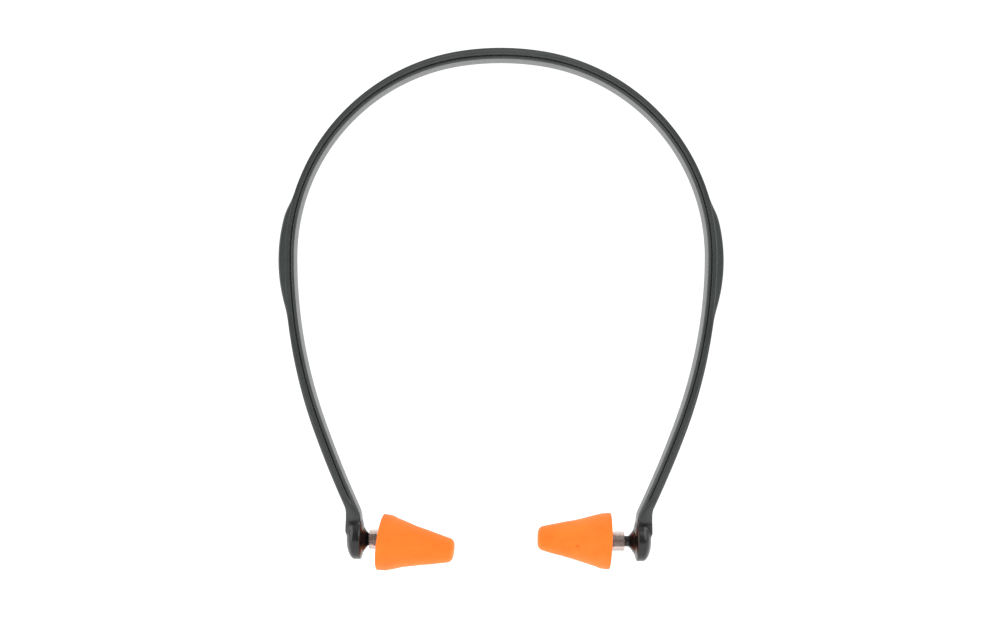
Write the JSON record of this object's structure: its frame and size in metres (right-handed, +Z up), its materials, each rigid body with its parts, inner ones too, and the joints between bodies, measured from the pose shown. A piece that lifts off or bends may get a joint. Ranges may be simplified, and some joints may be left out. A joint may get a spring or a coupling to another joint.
{
  "type": "banded ear plugs",
  "caption": "Springy U-shaped plastic headband that holds a tapered foam ear pod on a translucent stem at each end, worn over the head to block noise.",
  "frame": {"origin": "middle of the crown's inner face, where the band rests on top of the head", "axes": "+Z up as worn, +X across the head from the left pod to the right pod, +Y through the band's depth"},
  "size_m": [0.1326, 0.0168, 0.1564],
  "materials": {
    "band_plastic": "satin moulded plastic, near-black greenish grey",
    "stem_plastic": "smooth translucent plastic",
    "ear_foam": "matte fine-celled soft foam, bright orange"
  },
  "bodies": {
    "crown": {"headband_crown": "band_plastic"},
    "left_arm": {"left_arm": "band_plastic"},
    "right_arm": {"right_arm": "band_plastic"},
    "left_pod": {"left_pod_stem": "stem_plastic", "left_ear_foam": "ear_foam"},
    "right_pod": {"right_pod_stem": "stem_plastic", "right_ear_foam": "ear_foam"}
  },
  "joints": [
    {"name": "left_arm_flex", "type": "hinge", "parent": "crown", "child": "left_arm", "pos_m": [-0.03297, 0, -0.00658], "axis": [0, 1, 0], "range_deg": [-1.5, 25], "stiffness_Nm_per_rad": 0.76},
    {"name": "right_arm_flex", "type": "hinge", "parent": "crown", "child": "right_arm", "pos_m": [0.03297, 0, -0.00658], "axis": [0, -1, 0], "range_deg": [-1.5, 25], "stiffness_Nm_per_rad": 0.76},
    {"name": "left_pod_pull", "type": "slide", "parent": "left_arm", "child": "left_pod", "axis": [1, 0, 0], "range_m": [0, 0.0082]},
    {"name": "right_pod_pull", "type": "slide", "parent": "right_arm", "child": "right_pod", "axis": [-1, 0, 0], "range_m": [-0.0012, 0.007]}
  ]
}
